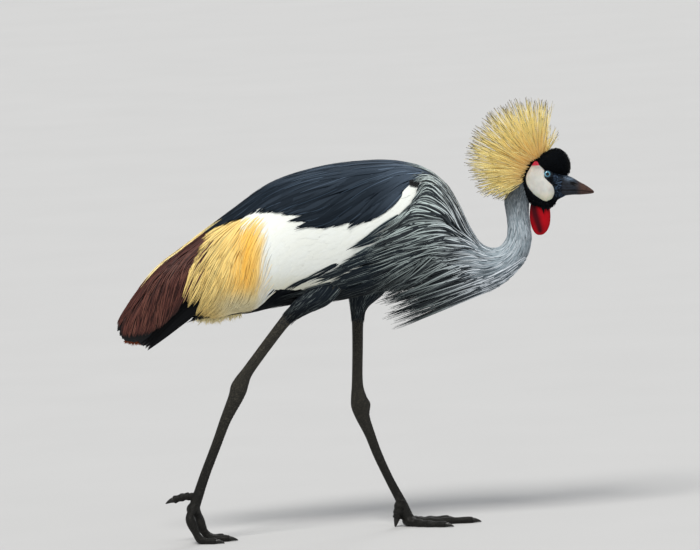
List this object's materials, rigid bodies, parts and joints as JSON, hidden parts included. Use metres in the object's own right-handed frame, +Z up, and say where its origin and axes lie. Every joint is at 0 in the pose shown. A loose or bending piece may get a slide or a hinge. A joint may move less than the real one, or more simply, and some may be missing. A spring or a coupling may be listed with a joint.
{
  "type": "grey crowned crane",
  "caption": "Life-size grey crowned crane in mid stride: slate body, white and gold wing, black cap, pale cheek, red wattle and a round crest of stiff gold bristles.",
  "frame": {"origin": "centre of the bounding box on the floor plane the feet stand on", "axes": "+X the way the bird faces, along its longest extent; +Y to its left; +Z up"},
  "size_m": [0.8443, 0.1794, 0.748],
  "materials": {
    "slate_feathers": "matte",
    "grey_plumes": "matte",
    "black_feathers": "satin",
    "white_feathers": "matte",
    "gold_feathers": "matte",
    "chestnut_feathers": "satin",
    "velvet_black": "matte",
    "crest_bristles": "matte",
    "white_skin": "matte",
    "red_skin": "satin",
    "bill_horn": "satin",
    "leg_scales": "matte",
    "claw_horn": "satin",
    "eye_blue": "gloss"
  },
  "bodies": {
    "root": {"bill_lower": "bill_horn", "bill_upper": "bill_horn", "breast_fringe": "grey_plumes", "cap": "velvet_black", "cheek_left": "white_skin", "cheek_right": "white_skin", "claw_hind_left": "claw_horn", "claw_hind_right": "claw_horn", "claw_inner_left": "claw_horn", "claw_inner_right": "claw_horn", "claw_middle_left": "claw_horn", "claw_middle_right": "claw_horn", "claw_outer_left": "claw_horn", "claw_outer_right": "claw_horn", "crest": "crest_bristles", "eye_left": "eye_blue", "eye_right": "eye_blue", "foot_pad_left": "leg_scales", "foot_pad_right": "leg_scales", "head": "velvet_black", "mantle": "slate_feathers", "neck_base": "grey_plumes", "neck_lower": "grey_plumes", "neck_middle": "grey_plumes", "neck_upper": "grey_plumes", "shank_left": "leg_scales", "shank_right": "leg_scales", "tail": "black_feathers", "tarsus_left": "leg_scales", "tarsus_right": "leg_scales", "thigh_left": "slate_feathers", "thigh_right": "slate_feathers", "toe_hind_left": "leg_scales", "toe_hind_right": "leg_scales", "toe_inner_left": "leg_scales", "toe_inner_right": "leg_scales", "toe_middle_left": "leg_scales", "toe_middle_right": "leg_scales", "toe_outer_left": "leg_scales", "toe_outer_right": "leg_scales", "trunk": "slate_feathers", "wattle": "red_skin", "wing_chestnut_left": "chestnut_feathers", "wing_chestnut_right": "chestnut_feathers", "wing_coverts_left": "white_feathers", "wing_coverts_right": "white_feathers", "wing_gold_left": "gold_feathers", "wing_gold_right": "gold_feathers", "wing_primaries_left": "black_feathers", "wing_primaries_right": "black_feathers"}
  },
  "joints": []
}
